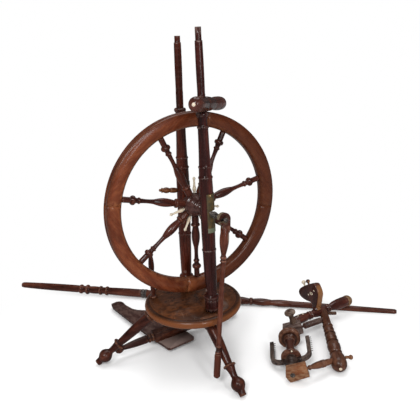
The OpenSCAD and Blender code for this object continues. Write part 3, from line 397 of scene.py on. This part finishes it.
dress("hub_pegs", old_bone("peg_bone", UP))

# ---------- Spokes ----------
# Seven turned beech spokes with their grain running outward. Their round tenons sit in the hub
# and in the rim.
axle_centre = Vector((0, 0, 281)) * MM
for number in range(1, 8):
    node = "spoke_%d" % number
    dress(node, polished_beech(node + "_beech", ("#210c09", "#3d1a12", "#562b1e"),
                               middle(node) - axle_centre, worn="#7a4c38", wear=0.4, gloss=0.26,
                               coat=0.22, shift=number * 0.17))

# ---------- Rim ----------
# Four sawn and turned felloes of beech, joined end to end. The face is a smooth orange brown, with
# painted shade along the inner edge, where the face turns away from the light, and in the drive
# band's grooves. More painted shade darkens the right side of the wheel, where less light falls.
for number in range(1, 5):
    node = "felloe_%d" % number
    outward = (middle(node) - axle_centre).normalized()
    felloe = polished_beech(node + "_beech", ("#4c200f", "#642f19", "#7c4326"),
                            outward.cross(Vector((0, 1, 0))), worn="#a56c46", wear=0.4, gloss=0.27,
                            coat=0.15, figure=26, shift=number * 0.29, pores=0.2)
    tree = felloe.node_tree
    place = add(tree, "TexCoord").outputs["Object"]
    reach = add(tree, "VectorMath", {0: place, 1: axle_centre}, operation="SUBTRACT").outputs[0]
    reach = add(tree, "VectorMath", {0: reach, 1: (1, 0, 1)}, operation="MULTIPLY").outputs[0]
    reach = add(tree, "VectorMath", {0: reach}, operation="LENGTH").outputs["Value"]
    # Painted shade along the inner edge, where the face turns away from the light.
    inner_edge_shade = add(tree, "MapRange", {0: reach, 1: 0.218, 2: 0.204, 4: 0.7}).outputs[0]
    # Painted shade in the drive band's grooves at the rim's outer edge.
    grooves = add(tree, "MapRange", {0: reach, 1: 0.241, 2: 0.249, 4: 0.6}).outputs[0]
    # Painted shade over the right side of the wheel, where less light falls.
    across = add(tree, "SeparateXYZ", {0: place}).outputs["X"]
    side_shade = add(tree, "MapRange", {0: across, 1: -0.16, 2: 0.16, 4: 0.75}).outputs[0]
    lay_over(felloe, inner_edge_shade, "#2c130c")
    lay_over(felloe, grooves, "#35190f")
    lay_over(felloe, side_shade, "#3d1c0e")
    dress(node, felloe)

# ---------- Footman ----------
# The turned beech rod that ties the crank to the treadle. Its hooked head hangs on the crank and
# is darker there, with a painted highlight in greenish grey on its faces turned to the front, and a
# loose foot hangs below.
footman_way = middle("footman_foot") - middle("footman")
footman_beech = polished_beech("footman_beech", ("#33140b", "#50261a", "#6c3c29"), footman_way,
                               worn="#98705c", wear=0.55)
tree = footman_beech.node_tree
height = add(tree, "SeparateXYZ", {0: add(tree, "TexCoord").outputs["Object"]}).outputs["Z"]
hook = add(tree, "MapRange", {0: height, 1: 0.246, 2: 0.254}).outputs[0]
# Painted highlight: a greenish grey band on the head's faces turned to the front.
facing = add(tree, "SeparateXYZ", {0: add(tree, "TexCoord").outputs["Normal"]}).outputs["Y"]
band = add(tree, "MapRange", {0: facing, 1: -0.85, 2: -0.5, 4: 0.85}).outputs[0]
band = add(tree, "Math", {0: hook, 1: band}, operation="MULTIPLY").outputs[0]
lay_over(footman_beech, hook, "#3a1c15")
lay_over(footman_beech, band, "#6f6350")
lay_over(footman_beech, spot(tree, (26, -127, 222), (8, 30, 15)), "#7b6a5c")
dress("footman", footman_beech)
dress("footman_foot", footman_beech)

# ---------- Treadle ----------
# A square bar with turned ends that rocks on iron pins between two legs. The bare oak board pegged
# on it is scrubbed grey where the foot rests and dark brown behind.


def joint_way(name):
    """The direction of a joint's axis."""
    return Vector(next(joint["axis"] for joint in frame["joints"] if joint["name"] == name))


treadle_way = joint_way("treadle_rock")
dress("treadle_bar", polished_beech("treadle_bar_beech", leg_shades, treadle_way, worn="#8a5d42",
                                    wear=0.5, gloss=0.34, coat=0.12, shift=0.41))
board = polished_beech("treadle_board_oak", ("#2a1411", "#351c18", "#432722"),
                       treadle_way.cross(UP), worn="#7a6258", wear=0.3, gloss=0.42, coat=0.08,
                       dust_and_sheen=0.05, figure=30, shift=0.13, pores=0.15)
tree = board.node_tree
ahead = add(tree, "SeparateXYZ", {0: add(tree, "TexCoord").outputs["Object"]}).outputs["Y"]
worn = marks(tree, (0, 1, 0), [("worn", 24, 50, 4)], 0.2)["worn"]
ragged = add(tree, "MapRange", {0: worn, 3: -0.05, 4: 0.05}).outputs[0]
ahead = add(tree, "Math", {0: ahead, 1: ragged}, operation="ADD").outputs[0]
ahead = add(tree, "MapRange", {0: ahead, 1: 0.12, 2: 0.08, 4: 0.9}).outputs[0]
upper = add(tree, "SeparateXYZ", {0: add(tree, "TexCoord").outputs["Normal"]}).outputs["Z"]
upper = add(tree, "MapRange", {0: upper, 1: 0.5, 2: 0.9}).outputs[0]
scrubbed = add(tree, "Math", {0: ahead, 1: upper}, operation="MULTIPLY").outputs[0]
lay_over(board, scrubbed, "#8f7b74")
dress("treadle_board", board)
dress("treadle_pins", axle_iron)

# ---------- Swivel arm ----------
# A heavy turned beech arm, bored to swing round the top of the front post, where it rests on a
# collar. A bone button is let into its ball end.
arm_way = middle("swivel_arm") - middle("arm_button")
dress("swivel_arm", polished_beech("arm_beech", ("#29110c", "#3f1e17", "#563028"), arm_way,
                                   worn="#8c6a5c", wear=0.6, gloss=0.24, coat=0.3, dust_and_sheen=0.02,
                                   figure=30, shift=0.2, pores=0.15))
button_bone = old_bone("button_bone", arm_way)
dress("arm_button", button_bone)

# ---------- Distaff ----------
# A very long turned beech staff in two lengths, laid on the floor behind the wheel. A plain iron
# ferrule joins them.
distaff_way = middle("distaff_lower") - middle("distaff_upper")
for node, shift in (("distaff_upper", 0.21), ("distaff_lower", 0.77)):
    dress(node, polished_beech(node + "_beech", ("#250e07", "#401c12", "#5b3122"), distaff_way,
                               worn="#8a604c", wear=0.45, gloss=0.26, coat=0.2, shift=shift))
dress("distaff_ferrule", forged_iron("ferrule_iron", distaff_way))

# ---------- Flyer head: bar and maidens ----------
# The mother of all, a bulbous turned beech bar with a bone button in its near end. Two slanting
# turned maidens are let into it, the far one ringed from end to end, and a pin and a small peg
# are pushed into its side.


def lathe(outline, foot, way, steps):
    """A solid turned to an outline of (distance, radius) in mm, laid from its foot along its
    way."""
    shape = bmesh.new()
    edge = [shape.verts.new((radius * MM, 0, distance * MM)) for distance, radius in outline]
    wire = [shape.edges.new(pair) for pair in zip(edge, edge[1:])]
    bmesh.ops.spin(shape, geom=edge + wire, cent=(0, 0, 0), axis=UP, angle=math.tau, steps=steps,
                   use_merge=True)
    bmesh.ops.remove_doubles(shape, verts=shape.verts, dist=1e-6)
    bmesh.ops.recalc_face_normals(shape, faces=shape.faces)
    turn = UP.rotation_difference(Vector(way).normalized()).to_matrix().to_4x4()
    bmesh.ops.transform(shape, matrix=Matrix.Translation(Vector(foot) * MM) @ turn,
                        verts=shape.verts)
    return shape


def turned(node, outline, foot, way, material):
    """A piece turned more finely than the plain piece, whose place it takes."""
    shape = lathe(outline, foot, way, 48)
    body = frame["nodes"][node]["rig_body"]
    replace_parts(fit(node + "_finished", shape, material, body), node)


bar_foot = Vector((269.81, -296.38, -150.13))
bar_way = Vector((0.52109, 0.85035, 0.07328))
bar_outline = [(-16, 0), (-15.6, 4), (-14, 9), (-10.5, 14.3), (-5, 18.8), (0, 21), (6, 21.6),
               (18, 21.5), (30, 20.6), (37, 18.4), (41, 15), (44, 12.4), (46.5, 12.6),
               (48.5, 16.4), (51, 17.6), (53.5, 16.6), (55, 14), (60, 15.4), (70, 18.2),
               (82, 18.8), (92, 16.4), (96, 12.8), (98, 13), (99.5, 16.8), (102, 17.6),
               (104.5, 16.6), (106, 13), (111, 14.8), (120, 17), (129, 15.6), (133, 12.4),
               (135, 12.6), (136.5, 16), (139, 16.8), (141.5, 15.8), (143, 12.4), (149, 14.4),
               (158, 15.8), (167, 14.4), (171, 11.6), (173, 11.8), (175, 15.2), (178, 15.8),
               (181, 14.8), (183, 12.8), (190, 13.2), (215, 13.4), (255, 12.8), (262, 11),
               (262, 0)]
turned("head_bar", bar_outline, bar_foot, bar_way,
       polished_beech("head_bar_beech", ("#2a140b", "#452619", "#603b2a"), bar_way, worn="#84604a",
                      wear=0.5, gloss=0.28, coat=0.22, shift=0.33))
dress("bar_button", button_bone)

near_foot = Vector((169.48, -281.82, -130.6))
near_way = Vector((282.83, -275.12, -148.3)) - near_foot
near_outline = [(-7, 0), (-7, 4), (5, 4), (6.5, 6), (9, 6.8), (11, 5.6), (13, 5.4), (24, 7.6),
                (38, 9.6), (47, 9.8), (50, 8.6), (52, 10.2), (55, 10.6), (57, 9), (59, 10.2),
                (62, 10.4), (64, 8.6), (72, 8.8), (84, 8.2), (92, 7.8), (98, 7.8), (98, 0)]
turned("near_maiden", near_outline, near_foot, near_way,
       polished_beech("near_maiden_beech", ("#33180d", "#523021", "#704a36"), near_way,
                      worn="#94705a", wear=0.5, shift=0.1))

far_foot = Vector((281.74, -121.21, -124.73))
far_way = Vector((383.93, -110.15, -134.08)) - far_foot
rib_pitch, rib_count = 6, 12
ribs = [(10 + rib_pitch * count + step, radius) for count in range(rib_count)
        for step, radius in ((0, 7.2), (1.5, 8.8), (3, 9.4), (4.5, 8.8))]
turned("far_maiden", [(-7, 0), (-7, 4), (8, 4)] + ribs + [(82, 7.6), (92, 7.6), (92, 0)],
       far_foot, far_way,
       polished_beech("far_maiden_beech", ("#22110c", "#3c241d", "#5a4238"), far_way,
                      worn="#8a7870", wear=0.7, shift=0.6))

pin_way = (0.85, -0.52, 0)
dress("bar_pin", polished_beech("bar_pin_beech", ("#31190f", "#4c2f22", "#6a4a3a"), pin_way,
                                worn="#94745e", wear=0.6, shift=0.3))
dress("thumb_peg", polished_beech("thumb_peg_beech", ("#54301c", "#734a2e", "#8f6645"), pin_way,
                                  worn="#a58262", wear=0.5, shift=0.5))

# ---------- Flyer head: bearing blocks ----------
# Two sawn beech blocks on the maidens, which carry the spindle. The near one is bare orange-brown
# wood. The far one has weathered to a greyish mauve, like the turned tension knob on it.
spindle_way = joint_way("flyer_spin")
dress("near_bearing", polished_beech("near_block_beech", ("#4f2812", "#66381e", "#7c4826"),
                                     spindle_way.cross(UP), worn="#a08062", wear=0.4, gloss=0.36,
                                     coat=0.1, figure=40, shift=0.2))
dress("far_bearing", polished_beech("far_block_beech", ("#2f1f19", "#47332c", "#62504a"),
                                    spindle_way.cross(UP), worn="#94827a", wear=0.4, gloss=0.5,
                                    coat=0.05, dust_and_sheen=0.2, shift=0.4))

knob_foot = Vector((258.8, -108.12, -109.53))
knob_way = joint_way("knob_turn")
knob_outline = [(-13, 0), (-13, 5), (0.4, 5), (0.4, 8.6), (3, 9.6), (7, 9.4), (11, 8), (18, 7.4),
                (25, 8), (30, 11.4), (32, 14.6), (33.5, 16.2), (36.5, 16.8), (39, 16.2),
                (41.5, 13.6), (43, 9.4), (43.6, 4.5), (43.8, 0)]
turned("tension_knob", knob_outline, knob_foot, knob_way,
       polished_beech("knob_beech", ("#2c1b15", "#49352b", "#6a564a"), knob_way, worn="#a08c78",
                      wear=0.5, gloss=0.34, coat=0.15, dust_and_sheen=0.35, shift=0.6))

# ---------- Flyer head: spindle, flyer, whorl and bobbin ----------
# An iron spindle with the U of the beech flyer fixed on it and a bobbin turning on it. The flyer is
# greyish from handling, and its wire hooks are dull iron. The whorl takes the drive band.
dress("spindle", forged_iron("spindle_iron", spindle_way))
dress("flyer", polished_beech("flyer_beech", ("#180e0b", "#2d1f1a", "#463730"), spindle_way,
                              worn="#75645b", wear=0.5, gloss=0.34))
dress("flyer_hooks", forged_iron("hook_iron", spindle_way))
dress("whorl", polished_beech("whorl_beech", ("#2f150b", "#4a291b", "#66402e"), UP,
                              worn="#98705a", wear=0.5, shift=0.5))
dress("bobbin", polished_beech("bobbin_beech", ("#27110a", "#412119", "#5b362a"), spindle_way,
                               worn="#8a6450", wear=0.5, shift=0.7))

# One small domed bone stud on the bobbin's near flange.
shape = bmesh.new()
stud_place = Matrix.Translation(Vector((171.2, -212.5, -119)) * MM)
bmesh.ops.create_uvsphere(shape, u_segments=16, v_segments=10, radius=2.6 * MM, matrix=stud_place)
fit("bobbin_stud", shape, button_bone, frame["nodes"]["bobbin"]["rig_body"], 60)

# ---------- Flyer head: crossbar and its cap ----------
# A turned beech crossbar through the far end of the bar, polished dark. It has bone plugs on top
# and a paler cap of bare wood on its end.
cross_foot = Vector((284, -80, -127.93))
cross_way = Vector((0.99863, 0.05234, 0))
cross_outline = [(0, 0), (0, 8.6), (1.5, 11.4), (6, 13.6), (16, 14.4), (30, 14.4), (42, 13.8),
                 (52, 12), (56, 10), (58, 10.4), (59.5, 12.6), (62, 13.2), (64, 11.6), (66, 9.8),
                 (68, 11.8), (70.5, 12.6), (73, 10.8), (75, 9.8), (82, 12), (92, 14.4),
                 (104, 15.6), (116, 15.2), (126, 13), (132, 10.4), (134, 10.2), (136, 12.4),
                 (139, 13), (141, 11.4), (143, 9.8), (145.5, 12), (148, 12.8), (150.5, 11),
                 (153, 9.6), (160, 12.2), (172, 15.2), (190, 16.8), (210, 17.3), (222, 16.8),
                 (224, 16), (224, 0)]
turned("crossbar", cross_outline, cross_foot, cross_way,
       polished_beech("crossbar_beech", ("#2a100b", "#431d16", "#5e3227"), cross_way,
                      worn="#8a6c5e", wear=0.6, gloss=0.22, coat=0.35, shift=0.5))
dress("crossbar_cap", polished_beech("cap_beech", ("#4f3722", "#664a32", "#7e6145"), cross_way,
                                     worn="#a08a6c", wear=0.4, gloss=0.42, coat=0.08, shift=0.9))
dress("crossbar_studs", button_bone)

# ---------- Flyer head: finial ----------
# A flat leaning tulip of walnut on a turned neck, set upright in the crossbar. Its broad faces are
# dark and its sawn edge is tan. Its dark face is inlaid with bone, and two small turned pegs
# stand on its upper edge.
walnut = polished_beech("finial_walnut", ("#260d0a", "#34150f", "#45211a"), UP, worn="#6f4a38",
                        wear=0.3, gloss=0.24, coat=0.35, figure=30)
tree = walnut.node_tree
sawn = add(tree, "SeparateXYZ", {0: add(tree, "TexCoord").outputs["Normal"]}).outputs["Y"]
sawn = add(tree, "MapRange", {0: sawn, 1: -0.6, 2: -0.8, 4: 0.9}).outputs[0]
lay_over(walnut, sawn, "#7d5434")

finial_foot = Vector((377.9, -75.1, -127.93))
face_offset, thickness, rounding = -8.5, 22, 4
tulip = [(-8, 12), (-8, 26), (-10, 34), (-13, 42), (-12, 50), (-14, 58), (-16, 67), (-14, 76),
         (-10, 84), (-3, 92), (2, 98), (7, 101), (18, 96), (34, 88), (56, 73), (68, 64),
         (78, 54), (83, 45), (82, 37), (76, 30), (66, 26), (54, 25), (37, 26), (27, 28),
         (19, 30), (14, 27), (12, 19), (10, 12)]
shape = bmesh.new()
points = [shape.verts.new((finial_foot + Vector((face_offset, back, up))) * MM)
          for back, up in tulip]
for pair in zip(points, points[1:] + points[:1]):
    shape.edges.new(pair)
bmesh.ops.subdivide_edges(shape, edges=shape.edges[:], cuts=1)
for smoothing in range(3):
    bmesh.ops.smooth_vert(shape, verts=shape.verts, factor=0.5, use_axis_y=True, use_axis_z=True)
face = bmesh.ops.contextual_create(shape, geom=shape.edges[:])["faces"]
grown = bmesh.ops.extrude_face_region(shape, geom=face)["geom"]
bmesh.ops.translate(shape, vec=(thickness * MM, 0, 0),
                    verts=[item for item in grown if isinstance(item, bmesh.types.BMVert)])
bmesh.ops.recalc_face_normals(shape, faces=shape.faces)
corners = [edge for edge in shape.edges if edge.calc_face_angle(0) > 0.8]
bmesh.ops.bevel(shape, geom=corners, offset=rounding * MM, segments=4, profile=0.5, affect="EDGES",
                material=-1)
neck = [(11, 0), (11, 11), (13, 13.4), (16, 14.2), (19, 12.6), (22, 9.2), (27, 7.8), (34, 9.5),
        (38, 0)]
neck_foot = finial_foot + Vector((1.5, 2, 0))
edge = [shape.verts.new((neck_foot + Vector((radius, 0, up))) * MM) for up, radius in neck]
wire = [shape.edges.new(pair) for pair in zip(edge, edge[1:])]
bmesh.ops.spin(shape, geom=edge + wire, cent=neck_foot * MM, axis=UP, angle=math.tau, steps=32,
               use_merge=True)
bmesh.ops.remove_doubles(shape, verts=shape.verts, dist=1e-6)
bmesh.ops.recalc_face_normals(shape, faces=shape.faces)
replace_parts(fit("finial_finished", shape, walnut, "frame"), "finial")

# Inlaid bone: a ring and two dots on the finial's dark face, each a little wider than high.
shape = bmesh.new()
ring_centre = Vector((369.3, -57, -65.8)) * MM
ring_radius, ring_wire, widening = 3.6 * MM, 1.2 * MM, 1.45
bmesh.ops.create_circle(shape, segments=8, radius=ring_wire, matrix=Matrix.Translation(
    ring_centre + Vector((0, ring_radius, 0))))
bmesh.ops.spin(shape, geom=shape.verts[:] + shape.edges[:], cent=ring_centre, axis=(1, 0, 0),
               angle=math.tau, steps=24, use_merge=True)
bmesh.ops.scale(shape, vec=(1, widening, 1), verts=shape.verts,
                space=Matrix.Translation(-ring_centre))
for back, up, radius in ((-44.3, -75.6, 2.3), (-68.3, -51.4, 2.6)):
    dot_place = Matrix.Translation(Vector((369.4, back, up)) * MM)
    bmesh.ops.create_uvsphere(shape, u_segments=14, v_segments=8, radius=radius * MM,
                              matrix=dot_place @ Matrix.Diagonal((0.4, 1.4, 1, 1)))
bmesh.ops.recalc_face_normals(shape, faces=shape.faces)
fit("finial_inlay", shape, button_bone, "frame", 60)

# The pegs, one of bone and one of walnut, each a ball on a beaded stem.
peg_outline = [(-4, 0), (-4, 2.6), (2, 2.6), (3.5, 3.6), (5, 2.8), (7, 4.4), (9, 6.2), (12, 6.8),
               (15, 6), (17, 3.6), (18, 0)]
for number, (back, up, material) in enumerate(((56, 72.5, button_bone), (35, 84.5, walnut))):
    shape = lathe(peg_outline, finial_foot + Vector((-4, back, up)), (0, 0.5, 0.87), 20)
    peg = fit("finial_peg_%d" % number, shape, material, "frame")
    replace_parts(peg, "finial_pegs")

# ---------- Floor and light ----------
# White card under the piece, which keeps its shadow and turns to plain white further out. One
# large soft lamp stands to the left, with a strip in front and a wide panel above.
floor_radius, floor_gap = 14, 0.0002
ground = bmesh.new()
bmesh.ops.create_circle(ground, cap_ends=True, segments=96, radius=floor_radius)
bmesh.ops.translate(ground, verts=ground.verts, vec=(0, 0, cad_box[0][2] - floor_gap))
ground_mesh = bpy.data.meshes.new("floor")
ground.to_mesh(ground_mesh)
ground.free()
floor = bpy.data.objects.new("floor", ground_mesh)
bpy.context.scene.collection.objects.link(floor)

# Matte card near the piece, where it takes the shadow. Further out the eye sees even white.
card = new_material("white_card")
tree = card.node_tree
paper = add(tree, "BsdfPrincipled", {"Base Color": "#fbfbfb", "Roughness": 0.9,
                                     "Specular IOR Level": 0.1}).outputs[0]
plain = add(tree, "Emission", {"Color": "#ffffff", "Strength": 1.0}).outputs[0]
dim = add(tree, "Emission", {"Color": "#ffffff", "Strength": 0.3}).outputs[0]
out = add(tree, "VectorMath", {0: add(tree, "TexCoord").outputs["Object"], 1: (-0.05, -0.05, 0)},
          operation="SUBTRACT").outputs[0]
out = add(tree, "VectorMath", {0: out, 1: (1, 1, 0)}, operation="MULTIPLY").outputs[0]
out = add(tree, "VectorMath", {0: out}, operation="LENGTH").outputs["Value"]
fade_start, fade_end = 0.35, 0.8
far = add(tree, "MapRange", {0: out, 1: fade_start, 2: fade_end},
          interpolation_type="SMOOTHSTEP").outputs[0]
rays = add(tree, "LightPath").outputs
seen = add(tree, "Math", {0: rays["Is Camera Ray"], 1: far}, operation="MULTIPLY").outputs[0]
surface = add(tree, "MixShader", {0: rays["Is Glossy Ray"], 1: paper, 2: dim}).outputs[0]
surface = add(tree, "MixShader", {0: seen, 1: surface, 2: plain}).outputs[0]
add(tree, "OutputMaterial", {"Surface": surface})
floor.data.materials.append(card)

world = bpy.data.worlds.new("studio")
bpy.context.scene.world = world
world.use_nodes = True
tree = world.node_tree
tree.nodes.clear()
rays = add(tree, "LightPath").outputs
walls = add(tree, "Background", {"Color": "#ffffff", "Strength": 0.62}).outputs[0]
for ray, strength in (("Is Glossy Ray", 0.08), ("Is Camera Ray", 1.0)):
    shown = add(tree, "Background", {"Color": "#ffffff", "Strength": strength}).outputs[0]
    walls = add(tree, "MixShader", {0: rays[ray], 1: walls, 2: shown}).outputs[0]
add(tree, "OutputWorld", {"Surface": walls})

lamps_aim = Vector((0.05, 0, 0.2))
for name, place, width, height, power in (("key", (-1.3, -1.3, 1.6), 0.7, 0.7, 27),
                                          ("front_strip", (-0.1, -2.3, 1.1), 0.35, 1.2, 16),
                                          ("top", (0.5, 0.6, 2.6), 1.8, 1.8, 30)):
    panel = bpy.data.lights.new(name, "AREA")
    panel.shape = "RECTANGLE"
    panel.size, panel.size_y = width, height
    panel.energy = power
    lamp = bpy.data.objects.new(name, panel)
    bpy.context.scene.collection.objects.link(lamp)
    lamp.location = place
    lamp.rotation_euler = (lamps_aim - Vector(place)).to_track_quat("-Z", "Y").to_euler()
